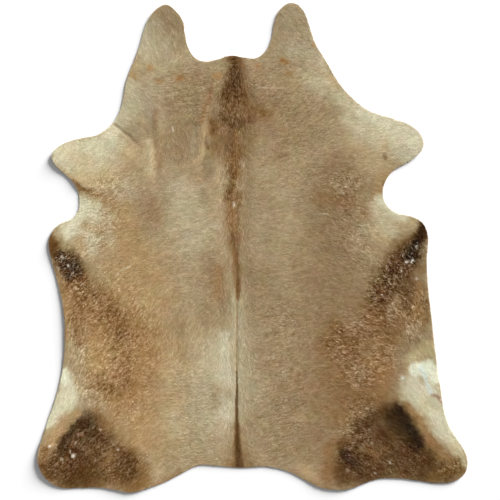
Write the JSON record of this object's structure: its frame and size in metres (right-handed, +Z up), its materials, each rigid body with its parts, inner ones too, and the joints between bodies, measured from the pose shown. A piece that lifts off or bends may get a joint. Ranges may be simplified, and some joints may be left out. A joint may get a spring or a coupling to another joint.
{
  "type": "cowhide rug",
  "caption": "Hair-on cowhide rug in fawn with dark patches at the flanks and legs, one piece cut to the outline of the animal, lying flat on the floor.",
  "frame": {"origin": "on the floor under the middle of the hide's bounding box", "axes": "+Z up, +Y along the spine from the rump to the neck, +X across to the right seen from above"},
  "size_m": [1.93, 2.2, 0.0129],
  "materials": {
    "hair_on_hide": "short matt fawn hair on tanned skin, suede underside"
  },
  "bodies": {
    "root": {"cowhide": "hair_on_hide"}
  },
  "joints": []
}
